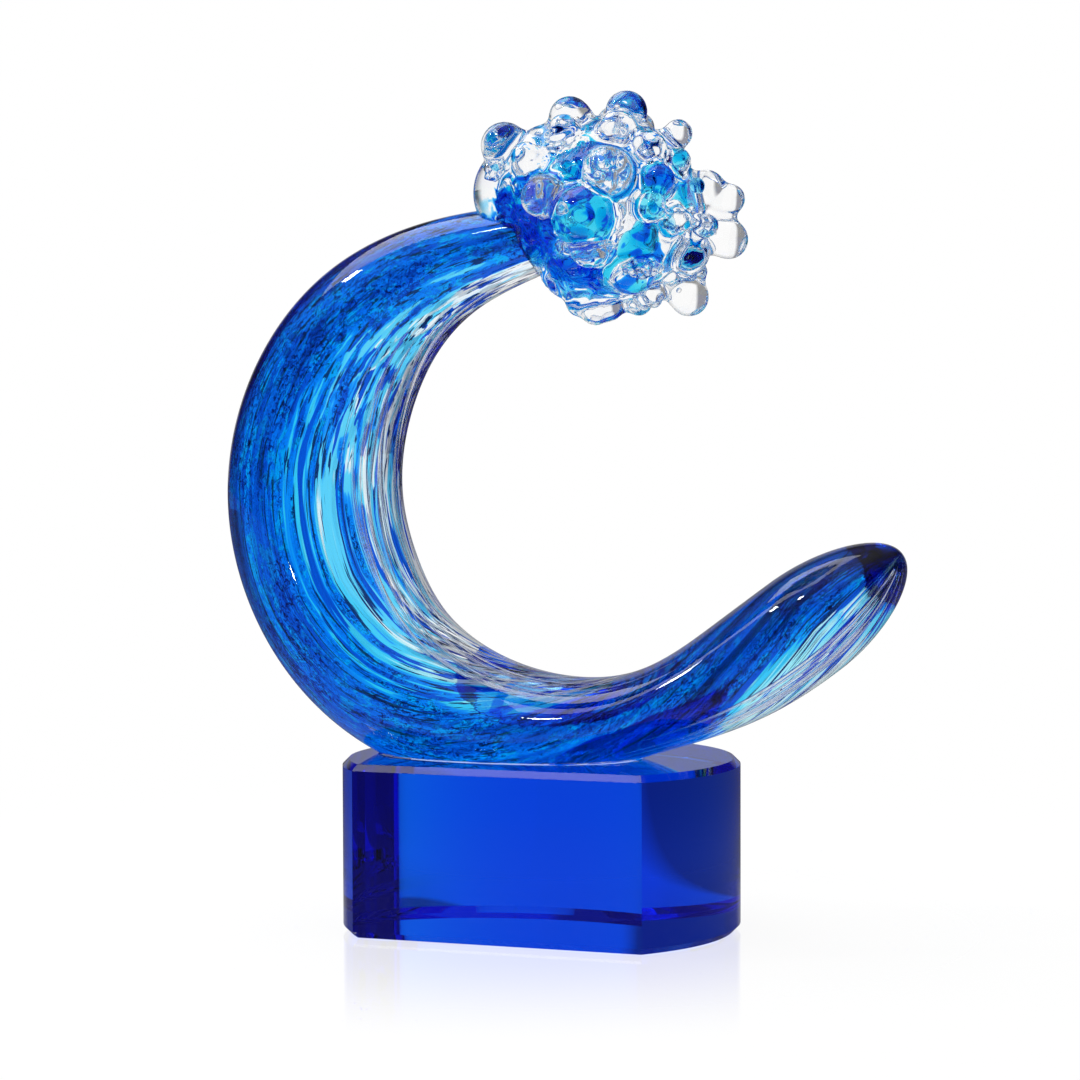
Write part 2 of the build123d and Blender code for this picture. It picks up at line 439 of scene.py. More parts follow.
def draw_threads(line):
    """Bubbles drawn out with the glass into threads just under its surface."""
    chance = random.Random(5)
    threads = []
    for count, first, last, low, high, depth in AIR_THREADS:
        for _ in range(count):
            start_clean()
            bpy.ops.mesh.primitive_uv_sphere_add(segments=10, ring_count=48, radius=1)
            thread = bpy.context.object
            ball = read_points(thread)
            middle = chance.uniform(first, last)
            reach = chance.uniform(0.06, 0.16)
            place = np.clip(middle + reach * ball[:, 2], 0.002, 0.985)
            sway = chance.uniform(-2, 5) * ball[:, 2]
            angle = chance.uniform(low, high) + sway
            x, z, tx, tz = line.at(place)
            thick, deep = line.half_sizes(place)
            show = np.degrees(np.arctan2(-tz * SHOW_SIDE[0] + tx * SHOW_SIDE[2], -SHOW_SIDE[1]))
            around = np.radians(180 - show - angle)
            close = np.cos(np.clip((place - 0.9) / TIP_SHARE, 0, 1) * math.pi / 2)
            share = chance.uniform(*depth)
            radius = chance.uniform(0.10, 0.26) * MM
            across = np.cos(around) * deep * close
            inward = np.sin(around) * thick * close
            # Flattened against the surface
            out_y, out_in = np.cos(around) * thick, np.sin(around) * deep
            size = np.hypot(out_y, out_in)
            out_y, out_in = out_y / size, out_in / size
            flat = chance.uniform(1.5, 4.0)
            y = across * share + radius * (ball[:, 0] * out_y - flat * ball[:, 1] * out_in)
            inward = inward * share + radius * (ball[:, 0] * out_in + flat * ball[:, 1] * out_y)
            write_points(thread, np.stack([x - tz * inward, y, z + tx * inward], -1))
            threads.append(thread)
    start_clean()
    for thread in threads:
        thread.select_set(True)
    bpy.context.view_layer.objects.active = threads[0]
    bpy.ops.object.join()
    threads = settle(bpy.context.object, "wave_air_threads")
    face_out(threads)
    return threads


def drawn_ripple(size, width, run, seed):
    """Return long hollows drawn along the glass, deeper on its clear side."""

    def ripple(place, around, turn):
        found = np.empty(len(place))
        angle = around + turn
        lean = 0.5 + 0.5 * np.sin(angle)
        for i in range(len(place)):
            spot = Vector(
                (
                    math.cos(angle[i]) * width,
                    math.sin(angle[i]) * width,
                    place[i] * run + seed,
                )
            )
            found[i] = noise.fractal(spot, 1.0, 2.0, 3)
        return size * found * (0.25 + 0.75 * lean)

    return ripple


# Materials


def glass_surface(tree, colour, ior, roughness=0.0, normal=None):
    surface = add_node(
        tree,
        "ShaderNodeBsdfPrincipled",
        Base_Color=colour if not isinstance(colour, tuple) else rgba(colour),
        Roughness=roughness,
        IOR=ior,
        Transmission_Weight=1.0,
    )
    if normal is not None:
        tree.links.new(normal, surface.inputs["Normal"])
    return surface.outputs["BSDF"]


def finish_material(tree, surface, volume=None):
    out = add_node(tree, "ShaderNodeOutputMaterial", Surface=surface)
    if volume is not None:
        tree.links.new(volume, out.inputs["Volume"])


def absorb(tree, colour, density):
    return add_node(
        tree, "ShaderNodeVolumeAbsorption", Color=rgba(colour), Density=density
    ).outputs["Volume"]


def crystal_cobalt_polished(sizes):
    """Cobalt lead-free crystal, cut and polished: even deep colour, mirror-flat
    faces with the faint long waves that a polishing wheel leaves."""
    material, tree = new_material("crystal_cobalt_polished")
    spot = add_node(tree, "ShaderNodeTexCoord").outputs["Object"]
    # Waves 9 mm apart, a fraction of a degree steep
    waves = add_node(tree, "ShaderNodeTexNoise", Vector=spot, Scale=1 / (9 * MM), Detail=1.0)
    bump = add_node(
        tree, "ShaderNodeBump", Strength=0.05, Distance=0.02 * MM, Height=waves.outputs["Fac"]
    )
    surface = glass_surface(tree, (1, 1, 1), 1.52, 0.0, bump.outputs["Normal"])
    polished = add_node(tree, "ShaderNodeAttribute", {"attribute_name": "polished"})
    tree.links.new(polished.outputs["Fac"], surface.node.inputs["Alpha"])
    finish_material(tree, surface, absorb(tree, sizes.colour, sizes.density))
    return material


def glass_clear_fire_polished(name="glass_clear_fire_polished", wave_mm=7.0, depth_mm=0.06):
    """Clear soda-lime glass, hot worked and fire polished: no grain at all, a
    liquid surface with slow swells where it sagged between heats."""
    material, tree = new_material(name)
    spot = add_node(tree, "ShaderNodeTexCoord").outputs["Object"]
    swells = add_node(tree, "ShaderNodeTexNoise", Vector=spot, Scale=1 / (wave_mm * MM), Detail=1.0)
    bump = add_node(
        tree,
        "ShaderNodeBump",
        Strength=0.35,
        Distance=depth_mm * MM,
        Height=swells.outputs["Fac"],
    )
    finish_material(tree, glass_surface(tree, (1, 1, 1), 1.5, 0.0, bump.outputs["Normal"]))
    return material


def glass_fused_seat():
    """Where two gathers are fused there is no surface left to see."""
    material, tree = new_material("glass_fused_seat")
    surface = add_node(tree, "ShaderNodeBsdfTransparent", Color=(1, 1, 1, 1))
    finish_material(tree, surface.outputs["BSDF"])
    return material


def glass_cobalt_cased(sizes):
    """Cobalt glass gathered inside clear: its colour comes from its thickness."""
    material, tree = new_material("glass_cobalt_cased")
    surface = glass_surface(tree, (1, 1, 1), 1.02)
    finish_material(tree, surface, absorb(tree, sizes.core_colour, sizes.core_density))
    return material


def glass_streaked_veil(sizes):
    """Aqua and cobalt drawn out into streaks along the wave, with fine dark
    flecks of undissolved colour on the blue side and clear glass on the other."""
    material, tree = new_material("glass_streaked_veil")
    drawn = add_node(tree, "ShaderNodeAttribute", {"attribute_name": "drawn"}).outputs["Vector"]
    blue = add_node(tree, "ShaderNodeAttribute", {"attribute_name": "blue"}).outputs["Fac"]
    shown = add_node(tree, "ShaderNodeAttribute", {"attribute_name": "shown"}).outputs["Fac"]
    white = add_node(tree, "ShaderNodeAttribute", {"attribute_name": "white"}).outputs["Fac"]

    def streaks(width_mm, length_mm, detail, warp=0.0, turn=None):
        scaled = add_node(
            tree,
            "ShaderNodeVectorMath",
            {"operation": "MULTIPLY"},
            i0=drawn,
            i1=(1 / (width_mm * MM), 1 / (width_mm * MM), 1 / (length_mm * MM)),
        )
        if turn:
            scaled = add_node(
                tree, "ShaderNodeVectorRotate", {"rotation_type": "EULER_XYZ"},
                Vector=scaled.outputs["Vector"], Rotation=turn,
            )
        return add_node(
            tree,
            "ShaderNodeTexNoise",
            Vector=scaled.outputs["Vector"],
            Scale=1.0,
            Detail=detail,
            Roughness=0.55,
            Distortion=warp,
        ).outputs["Fac"]

    def math_node(kind, a, b):
        return add_node(tree, "ShaderNodeMath", {"operation": kind}, i0=a, i1=b).outputs["Value"]

    def centred(noise_value, size):
        return math_node("MULTIPLY", math_node("SUBTRACT", noise_value, 0.5), size)

    broad = streaks(4.4, 130.0, 1.0, 0.3)
    middle = streaks(2.3, 75.0, 2.0, 0.5)
    fine = streaks(0.8, 55.0, 2.0, 0.3)
    wander = math_node("ADD", centred(broad, 1.0), centred(middle, 1.15))
    wander = math_node("ADD", wander, centred(fine, 0.18))
    wander = math_node("MULTIPLY", wander, shown)
    # From clear through aqua to cobalt at 1 and navy past it
    across = math_node("ADD", blue, wander)
    stops = (
        (0.05, (1, 1, 1)),
        (0.25, linear("#D8F5FF")),
        (0.31, sizes.aqua_colour),
        (0.50, linear("#58D2FF")),
        (0.52, linear("#2FACFF")),
        (0.56, linear("#1898FF")),
        (0.62, linear("#0A8AFF")),
        (1.00, linear("#0A78F4")),
        (1.20, linear("#0A5CD8")),
        (1.45, linear("#083A9C")),
        (1.90, linear("#041A50")),
    )
    half = math_node("MULTIPLY", across, 0.5)
    colour = ramp(tree, half, tuple((place / 2, tint) for place, tint in stops))

    def lay_over(colour, pattern, low, high, where, tint, blend="MIX"):
        mask = ramp(tree, pattern, ((low, (0, 0, 0)), (high, (1, 1, 1))))
        return add_node(
            tree, "ShaderNodeMix", {"data_type": "RGBA", "blend_type": blend},
            i0=math_node("MULTIPLY", mask, where), i6=colour, i7=rgba(tint),
        ).outputs[2]

    # Threads of cobalt and fine navy lines drawn along the clear side
    colour = lay_over(colour, streaks(2.0, 80.0, 2.0, 0.3), 0.56, 0.575, shown, linear("#0A5CDC"))
    colour = lay_over(colour, streaks(0.9, 60.0, 2.0, 0.3), 0.60, 0.615, shown, linear("#123A78"))
    # Paler clouds, blotches and flecks 1 to 3 mm long on the blue side
    on_blue = ramp(tree, half, ((0.29, (0, 0, 0)), (0.33, (1, 1, 1))))
    on_blue = math_node("MULTIPLY", on_blue, shown)
    # They gather in clusters 10 mm wide
    clusters = ramp(tree, streaks(10.0, 24.0, 2.0, 0.6), ((0.42, (0.2,) * 3), (0.55, (1, 1, 1))))
    clusters = math_node("MULTIPLY", on_blue, clusters)
    for width, length, low, high, where, tint in (
        (3.6, 7.0, 0.53, 0.59, on_blue, (1.0, 1.75, 1.0)),
        (2.2, 3.4, 0.53, 0.555, clusters, (0.6, 0.40, 0.56)),
        (1.1, 1.7, 0.56, 0.58, clusters, (0.3, 0.14, 0.28)),
        (0.6, 1.2, 0.60, 0.62, on_blue, (0.3, 0.20, 0.36)),
    ):
        # Turned, so that the grain of the noise doesn't lie along the glass
        pattern = streaks(width, length, 4.0, 1.8, (0.6, 0.5, 0.6))
        colour = lay_over(colour, pattern, low, high, where, tint, "MULTIPLY")
    flecked = colour
    bump = add_node(tree, "ShaderNodeBump", Strength=0.6, Distance=0.6 * MM, Height=middle)
    # Glass tints by the root of its colour at each surface, and mostly the near
    # one colours what is seen, so the colour is squared
    squared = add_node(
        tree, "ShaderNodeVectorMath", {"operation": "MULTIPLY"}, i0=flecked, i1=flecked
    ).outputs["Vector"]
    surface = glass_surface(tree, squared, 1.05, 0.0, bump.outputs["Normal"])
    # Painted light: streaks of opaque white along the clear side stand in for the bright backdrop bent
    # through clear glass, and let no light through
    clear_side = ramp(tree, half, ((0.22, (1, 1, 1)), (0.29, (0, 0, 0))))
    painted_light_strands = math_node("ADD", streaks(1.5, 140.0, 1.0, 0.2), math_node("MULTIPLY", white, 0.10))
    painted_light_strands = ramp(tree, painted_light_strands, ((0.55, (0, 0, 0)), (0.585, (0.9,) * 3)))
    solid = add_node(
        tree, "ShaderNodeMath", {"operation": "MULTIPLY_ADD"}, i0=white, i1=0.68, i2=0.22
    ).outputs["Value"]
    for limit in (clear_side, shown, solid):
        painted_light_strands = math_node("MULTIPLY", painted_light_strands, limit)
    tree.links.new(
        math_node("SUBTRACT", 1.0, painted_light_strands), surface.node.inputs["Transmission Weight"]
    )
    finish_material(tree, surface)
    return material


def glass_marbled_veil():
    """Cobalt and aqua stirred through clear glass while it was soft: patches
    with sharp edges, more of them towards the neck."""
    material, tree = new_material("glass_marbled_veil")
    spot = add_node(tree, "ShaderNodeTexCoord").outputs["Object"]
    blue = add_node(tree, "ShaderNodeAttribute", {"attribute_name": "blue"}).outputs["Fac"]
    # Patches about 8 mm across, stirred
    patch = add_node(
        tree, "ShaderNodeTexNoise", Vector=spot, Scale=1 / (8 * MM), Detail=1.0, Distortion=1.4
    ).outputs["Fac"]
    amount = add_node(
        tree, "ShaderNodeMath", {"operation": "MULTIPLY_ADD"}, i0=blue, i1=0.26, i2=patch
    ).outputs["Value"]
    colour = ramp(
        tree,
        amount,
        (
            (0.545, (1, 1, 1)),
            (0.56, linear("#A6E6FF")),
            (0.575, linear("#4DB8FF")),
            (0.60, linear("#1C98FA")),
            (0.65, linear("#0A84F4")),
            (0.76, linear("#0A6CE4")),
        ),
    )
    squared = add_node(
        tree, "ShaderNodeVectorMath", {"operation": "MULTIPLY"}, i0=colour, i1=colour
    ).outputs["Vector"]
    finish_material(tree, glass_surface(tree, squared, 1.03))
    return material


def cement_light_cured():
    """Clear acrylic cement, cured under the foot: thin, glossy, almost unseen."""
    material, tree = new_material("cement_light_cured")
    spot = add_node(tree, "ShaderNodeTexCoord").outputs["Object"]
    haze = add_node(tree, "ShaderNodeTexNoise", Vector=spot, Scale=1 / (2 * MM))
    tint = ramp(tree, haze.outputs["Fac"], ((0.3, linear("#F4FAFF")), (0.7, (1, 1, 1))))
    surface = add_node(tree, "ShaderNodeBsdfTransparent", Color=tint)
    finish_material(tree, surface.outputs["BSDF"])
    return material


def air_bubble(name="air_bubble_in_glass"):
    """A bubble of air shut in the glass: a bright dot with a dark ring."""
    material, tree = new_material(name)
    finish_material(tree, glass_surface(tree, (1, 1, 1), 1 / 1.5))
    return material


# Sizes and colours a user would change


class GlassWaveBlock(bpy.types.PropertyGroup):
    radius: bpy.props.FloatProperty(
        name="Radius", description="Round wall of the block", default=50 * MM, unit="LENGTH"
    )
    flat_reach: bpy.props.FloatProperty(
        name="Flat", description="From the axis to the flat front", default=33 * MM, unit="LENGTH"
    )
    height: bpy.props.FloatProperty(
        name="Height", description="Height of the block", default=43 * MM, unit="LENGTH"
    )
    bevel: bpy.props.FloatProperty(
        name="Bevel", description="Polished bevel of the rims", default=1.6 * MM, unit="LENGTH"
    )
    colour: bpy.props.FloatVectorProperty(
        name="Crystal", description="Colour of the crystal", subtype="COLOR", size=3,
        default=(0.0, 0.828, 0.981),
    )
    density: bpy.props.FloatProperty(
        name="Density", description="How quickly the crystal takes up light", default=200.0
    )


class GlassWaveBody(bpy.types.PropertyGroup):
    reach: bpy.props.FloatProperty(
        name="Reach", description="Size that the stations follow along X", default=93 * MM,
        unit="LENGTH",
    )
    rise: bpy.props.FloatProperty(
        name="Rise", description="Neck above the lowest station", default=122 * MM, unit="LENGTH"
    )
    half_thickness: bpy.props.FloatProperty(
        name="Half thickness", description="Largest, in the curl's plane", default=22.7 * MM,
        unit="LENGTH",
    )
    half_depth: bpy.props.FloatProperty(
        name="Half depth", description="Largest, across the curl", default=24.5 * MM, unit="LENGTH"
    )
    foot_height: bpy.props.FloatProperty(
        name="Foot height", description="Ground foot above the table",
        default=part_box("glue_film")[1][2], unit="LENGTH",
    )
    aqua_colour: bpy.props.FloatVectorProperty(
        name="Aqua", description="Colour of the streaks", subtype="COLOR", size=3,
        default=linear("#62DAFF"),
    )
    core_colour: bpy.props.FloatVectorProperty(
        name="Cobalt", description="Colour of the core", subtype="COLOR", size=3,
        default=(0.0, 0.89, 0.955),
    )
    core_density: bpy.props.FloatProperty(
        name="Core density", description="How quickly the core takes up light", default=60.0
    )


class GlassWaveCrest(bpy.types.PropertyGroup):
    radius: bpy.props.FloatProperty(
        name="Radius", description="Size that the gathers follow", default=22.5 * MM, unit="LENGTH"
    )
    grain: bpy.props.FloatProperty(
        name="Grain", description="Cell of the melted surface", default=0.5 * MM, unit="LENGTH"
    )
    fillet: bpy.props.FloatProperty(
        name="Fillet", description="Radius of the hollows between drops", default=1.1 * MM,
        unit="LENGTH",
    )
    melt: bpy.props.IntProperty(
        name="Melt", description="How far the drops have run together", default=22
    )


class GlassWaveStage(bpy.types.PropertyGroup):
    floor_size: bpy.props.FloatProperty(
        name="Floor", description="Side of the floor", default=14.0, unit="LENGTH"
    )
    shade: bpy.props.FloatProperty(
        name="Shade", description="Share of the floor's white that the lamps give", default=0.08
    )
    shine: bpy.props.FloatProperty(
        name="Shine", description="Mirror share of the floor near the block", default=0.75
    )


# Pieces


class GLASSWAVE_OT_block(bpy.types.Operator):
    """Turn the block, grind its flat front and bevel its rims"""

    bl_idname = "glasswave.block"
    bl_label = "Crystal block"

    def execute(self, context):
        sizes = context.scene.glass_wave_block
        start_clean()
        bpy.ops.mesh.primitive_cylinder_add(
            vertices=320, radius=sizes.radius, depth=sizes.height, location=(0, 0, sizes.height / 2)
        )
        block = settle(context.object, "crystal_block")
        bpy.ops.object.mode_set(mode="EDIT")
        bpy.ops.mesh.select_all(action="SELECT")
        bpy.ops.mesh.bisect(
            plane_co=(0, -sizes.flat_reach, 0), plane_no=(0, 1, 0), use_fill=True, clear_inner=True
        )
        bpy.ops.mesh.select_all(action="DESELECT")
        shape = bmesh.from_edit_mesh(block.data)
        for edge in shape.edges:
            heights = [v.co.z for v in edge.verts]
            edge.select_set(max(heights) < 1e-6 or min(heights) > sizes.height - 1e-6)
        bmesh.update_edit_mesh(block.data)
        bpy.ops.mesh.bevel(offset=sizes.bevel, offset_type="OFFSET", segments=1, affect="EDGES")
        bpy.ops.object.mode_set(mode="OBJECT")
        self.seat(block, sizes.height)
        block.data.materials.append(crystal_cobalt_polished(sizes))
        only(block)
        bpy.ops.object.shade_smooth_by_angle(angle=math.radians(20))
        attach(block, "root")
        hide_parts("base_block")
        return {"FINISHED"}

    def seat(self, block, height):
        """Part off the face that the cement covers, where no surface is seen."""
        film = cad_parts["glue_film"].data
        low = min(v.co.z for v in film.vertices)
        rim = {
            (round(v.co.x, 6), round(v.co.y, 6)) for v in film.vertices if v.co.z < low + 0.01 * MM
        }
        middle = np.mean(list(rim), axis=0)
        rim = sorted(rim, key=lambda p: math.atan2(p[1] - middle[1], p[0] - middle[0]))
        shape = bmesh.new()
        shape.from_mesh(block.data)
        polished = shape.faces.layers.float.new("polished")
        top = max(shape.faces, key=lambda face: face.calc_center_median().z)
        edges = list(top.edges)
        bmesh.ops.delete(shape, geom=[top], context="FACES_ONLY")
        ring = [shape.verts.new((x, y, height)) for x, y in rim]
        edges += [shape.edges.new((a, b)) for a, b in zip(ring, ring[1:] + ring[:1])]
        bmesh.ops.triangle_fill(shape, edges=edges, use_beauty=True, normal=(0, 0, 1))
        seat = shape.faces.new(ring)
        for face in shape.faces:
            face[polished] = 1.0
        seat[polished] = 0.0
        shape.to_mesh(block.data)
        shape.free()
        face_out(block)


class GLASSWAVE_OT_wave(bpy.types.Operator):
    """Draw out the core, the streaked veil over it and the clear casing"""

    bl_idname = "glasswave.wave"
    bl_label = "Wave"

    def execute(self, context):
        sizes = context.scene.glass_wave_body
        crest = context.scene.glass_wave_crest
        line = WaveLine(sizes)
        foot = sizes.foot_height
        fused = glass_fused_seat()
        skin = make_gather(line, "wave_skin", 380, 168, (0.998, 0.998), 0.9985)
        cut_below(skin, foot)
        skin.data.materials.append(glass_clear_fire_polished("glass_casing_fire_polished", 9, 0.05))
        skin.data.materials.append(fused)
        gathers = crest_gathers(line, crest)
        for face in skin.data.polygons:
            inside = any((face.center - c).length < r - 0.25 * MM for c, r in gathers)
            # The cement leaves no surface to see under the foot
            if inside or face.center.z < foot + 1e-6:
                face.material_index = 1
        veil = make_gather(
            line, "wave_veil_streaks", 380, 168, (0.84, 0.84), 0.992,
            ripple=drawn_ripple(0.05, 2.6, 11.0, 3.0),
        )
        cut_below(veil, foot + 0.2 * MM)
        veil.data.materials.append(glass_streaked_veil(sizes))
        veil.data.materials.append(fused)
        for face in veil.data.polygons:
            if face.center.z < foot + 0.21 * MM:
                face.material_index = 1
        core = make_gather(
            line, "wave_core_cobalt", 240, 96, (0.36, 0.60), 0.965, offset=0.43, side=0.16,
            ripple=drawn_ripple(0.12, 1.6, 9.0, 8.0),
        )
        cut_below(core, foot + 0.4 * MM)
        core.data.materials.append(glass_cobalt_cased(sizes))
        threads = draw_threads(line)
        threads.data.materials.append(air_bubble("air_threads_drawn"))
        for piece, slot, node in (
            (threads, "clear_glass", "wave_casing"),
            (skin, "clear_glass", "wave_casing"),
            (veil, "aqua_glass", "wave_veil"),
            (core, "cobalt_glass", "wave_core"),
        ):
            settle(piece, piece.name)
            bpy.ops.object.shade_smooth_by_angle(angle=math.radians(35))
            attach(piece, "root")
            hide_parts(node)
        return {"FINISHED"}


def crest_centre(line, crest):
    x, z, _, _ = line.at(0.0)
    return Vector((float(x), 0, float(z))) + Vector((CREST_OUT_SHARE, 0, CREST_UP_SHARE)) * crest.radius


def crest_gathers(line, crest):
    centre = crest_centre(line, crest)
    return [
        (centre + Vector((x, 0, z)) * crest.radius, r * crest.radius)
        for x, z, r in CREST_GATHER_SHARES
    ]


class GLASSWAVE_OT_crest(bpy.types.Operator):
    """Drop the gathers and the foam drops on the neck and let them run together"""

    bl_idname = "glasswave.crest"
    bl_label = "Crest"

    def execute(self, context):
        crest = context.scene.glass_wave_crest
        body = context.scene.glass_wave_body
        line = WaveLine(body)
        parts = []
        for centre, radius in crest_gathers(line, crest):
            start_clean()
            bpy.ops.mesh.primitive_uv_sphere_add(
                segments=64, ring_count=32, radius=radius, location=centre
            )
            parts.append(settle(context.object, "gather"))
        drops = sorted(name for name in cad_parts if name.startswith("foam_drop_"))
        for name in drops:
            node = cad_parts[name]
            copy = bpy.data.objects.new(name + "_copy", node.data.copy())
            context.collection.objects.link(copy)
            copy.data.materials.clear()
            weld(copy)
            parts.append(copy)
        start_clean()
        for part in parts:
            part.select_set(True)
        context.view_layer.objects.active = parts[0]
        bpy.ops.object.join()
        skin = settle(context.object, "crest_skin")
        # Swelled, fused and shrunk back, so that fillets are left where drops meet
        put_modifier(skin, "DISPLACE", strength=crest.fillet, mid_level=0.0)
        put_modifier(skin, "REMESH", mode="VOXEL", voxel_size=crest.grain)
        put_modifier(skin, "SMOOTH", factor=0.5, iterations=6)
        put_modifier(skin, "DISPLACE", strength=-crest.fillet, mid_level=0.0)
        put_modifier(skin, "REMESH", mode="VOXEL", voxel_size=crest.grain)
        put_modifier(skin, "SMOOTH", factor=0.5, iterations=crest.melt)
        self.sag(skin, crest_centre(line, crest), crest.radius)
        skin.data.materials.clear()
        skin.data.materials.append(
            glass_clear_fire_polished("glass_foam_drops_fire_polished", 6.0, 0.05)
        )
        skin.data.materials.append(glass_fused_seat())
        centres = np.array([face.center[:] for face in skin.data.polygons])
        place, across, inward = line.local(centres)
        seat = (place < 0.15) & (place > 0.0005) & (np.hypot(across, inward) < 0.985)
        for face, fused in zip(skin.data.polygons, seat):
            if fused:
                face.material_index = 1
        only(skin)
        bpy.ops.object.shade_smooth()
        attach(skin, "root")
        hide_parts("crest_casing", *drops)
        return {"FINISHED"}


    def sag(self, skin, centre, radius):
        """Let the surface sag in soft folds, most of all towards the neck."""
        points = read_points(skin)
        normals = np.empty(len(points) * 3)
        skin.data.vertices.foreach_get("normal", normals)
        normals = normals.reshape(-1, 3)
        share = (points - np.array(centre)) / radius
        left = np.clip(0.75 - share[:, 0], 0.25, 1.2)
        near = np.clip((1.16 - np.linalg.norm(share, axis=1)) / 0.2, 0.0, 1.0)
        folds = np.empty(len(points))
        for i, point in enumerate(points):
            spot = Vector(point)
            slow = noise.noise(spot / (7 * MM))
            ridge = 1 - 2 * abs(noise.noise(spot / (5.5 * MM) + Vector((slow, 3, slow))))
            folds[i] = 0.7 * slow + 0.6 * ridge - 0.35
        write_points(skin, points + normals * (folds * left * near * 1.9 * MM)[:, None])


def weld(obj):
    """Merge the doubles of a copied CAD mesh."""
    only(obj)
    bpy.ops.object.mode_set(mode="EDIT")
    bpy.ops.mesh.select_all(action="SELECT")
    bpy.ops.mesh.remove_doubles(threshold=0.005 * MM)
    bpy.ops.object.mode_set(mode="OBJECT")


class GLASSWAVE_OT_crest_colour(bpy.types.Operator):
    """Lay the cobalt and aqua colour inside the crest, with bubbles of air"""

    bl_idname = "glasswave.crest_colour"
    bl_label = "Crest colours"

    def execute(self, context):
        crest = context.scene.glass_wave_crest
        line = WaveLine(context.scene.glass_wave_body)
        centre = crest_centre(line, crest)
        for colour, absorbed, density in (
            ("cobalt", (0.0, 0.86, 0.965), 700.0),
            ("aqua", (0.0, 0.76, 0.964), 540.0),
        ):
            parts = []
            for x, y, z, r, name in CREST_COLOUR_SHARES:
                if name != colour:
                    continue
                start_clean()
                bpy.ops.mesh.primitive_ico_sphere_add(
                    subdivisions=4,
                    radius=r * crest.radius,
                    location=centre + Vector((x, y, z)) * crest.radius,
                )
                parts.append(settle(context.object, "gob"))
            start_clean()
            for part in parts:
                part.select_set(True)
            context.view_layer.objects.active = parts[0]
            bpy.ops.object.join()
            lump = settle(context.object, "crest_colour_" + colour)
            put_modifier(lump, "REMESH", mode="VOXEL", voxel_size=0.4 * MM)
            put_modifier(lump, "SMOOTH", factor=0.5, iterations=16)
            self.fold(lump, 2.6 * MM, 5.0 * MM)
            lump.data.materials.clear()
            material, tree = new_material("glass_%s_gob" % colour)
            surface = glass_surface(tree, (1, 1, 1), 1.03)
            finish_material(tree, surface, absorb(tree, absorbed, density))
            lump.data.materials.append(material)
            only(lump)
            bpy.ops.object.shade_smooth()
            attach(lump, "root")
            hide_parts("crest_lump")
        self.marble(context, line, crest)
        self.air(context, centre, crest.radius)
        return {"FINISHED"}

    def marble(self, context, line, crest):
        """The coloured gather that the foam drops were dropped on."""
        parts = []
        for centre, radius in crest_gathers(line, crest):
            start_clean()
            bpy.ops.mesh.primitive_uv_sphere_add(
                segments=64, ring_count=32, radius=0.86 * radius, location=centre
            )
            parts.append(settle(context.object, "gather"))
        start_clean()
        for part in parts:
            part.select_set(True)
        context.view_layer.objects.active = parts[0]
        bpy.ops.object.join()
        veil = settle(context.object, "crest_veil_marbled")
        put_modifier(veil, "REMESH", mode="VOXEL", voxel_size=0.5 * MM)
        put_modifier(veil, "SMOOTH", factor=0.5, iterations=24)
        self.fold(veil, 1.6 * MM, 8.0 * MM)
        share = (read_points(veil) - np.array(crest_centre(line, crest))) / crest.radius
        blue = veil.data.attributes.new("blue", "FLOAT", "POINT")
        near = 1 - np.linalg.norm(share - np.array(CREST_COBALT_SEAT), axis=1) / 0.6
        top = np.clip((share[:, 2] - 0.25) / 0.3, 0, 1)
        blue.data.foreach_set("value", np.clip(near, -0.25, 1) - 0.5 * top)
        veil.data.materials.clear()
        veil.data.materials.append(glass_marbled_veil())
        only(veil)
        bpy.ops.object.shade_smooth()
        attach(veil, "root")

    def air(self, context, centre, radius):
        """Shut crumpled films and round bubbles of air in the crest."""
        parts = []
        for x, y, z, wide, deep, tall, crumple in CREST_AIR_SHARES:
            start_clean()
            bpy.ops.mesh.primitive_ico_sphere_add(
                subdivisions=5 if crumple else 3,
                radius=1,
                location=centre + Vector((x, y, z)) * radius,
                scale=Vector((wide, deep, tall)) * radius,
            )
            bubble = settle(context.object, "bubble")
            if crumple:
                self.fold(bubble, crumple * radius, 1.3 * MM)
            parts.append(bubble)
        start_clean()
        for part in parts:
            part.select_set(True)
        context.view_layer.objects.active = parts[0]
        bpy.ops.object.join()
        bubbles = settle(context.object, "crest_air_bubbles")
        bubbles.data.materials.clear()
        bubbles.data.materials.append(air_bubble())
        only(bubbles)
        bpy.ops.object.shade_smooth()
        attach(bubbles, "root")

    def fold(self, obj, depth, width):
        """Push the soft colour in and out in folds."""
        points = read_points(obj)
        normals = np.empty(len(points) * 3)
        obj.data.vertices.foreach_get("normal", normals)
        normals = normals.reshape(-1, 3)
        push = np.array([noise.noise(Vector(p) / width) for p in points])
        write_points(obj, points + normals * (push * depth)[:, None])


class GLASSWAVE_OT_cement(bpy.types.Operator):
    """Give the cement its clear cured finish"""

    bl_idname = "glasswave.cement"
    bl_label = "Cement"

    def execute(self, context):
        material = cement_light_cured()
        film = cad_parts["glue_film"]
        for slot in film.material_slots:
            slot.material = material
        return {"FINISHED"}


# Stage

# The photograph's camera: where it stands and its own right, up and forward
CAMERA_PLACE = (0.27372, -0.73942, 0.13107)
CAMERA_RIGHT = (0.93775, 0.34731, -0.00299)
CAMERA_UP = (-0.01200, 0.04099, 0.99909)
CAMERA_FORWARD = (-0.34711, 0.93685, -0.04260)
CAMERA_LENS = 104.83

# Lamps: direction from the middle of the wave, width, height, roll in degrees
# and brightness
LAMP_SHARES = (
    ("lamp_front_left", (-0.46, -0.89, 0.0), 0.045, 0.02, 0, 45.0),
    ("lamp_high_left", (-0.68, -0.21, 0.70), 0.13, 0.08, 0, 40.0),
    ("lamp_high_front", (-0.36, -0.51, 0.78), 0.10, 0.08, 0, 40.0),
)
# The side where a grey card stands, seen only through the block
CARD_SIDE = (-0.938, -0.347, 0.0)
# How bright the sheet behind is in reflections
SHEET_SHADE = 0.30


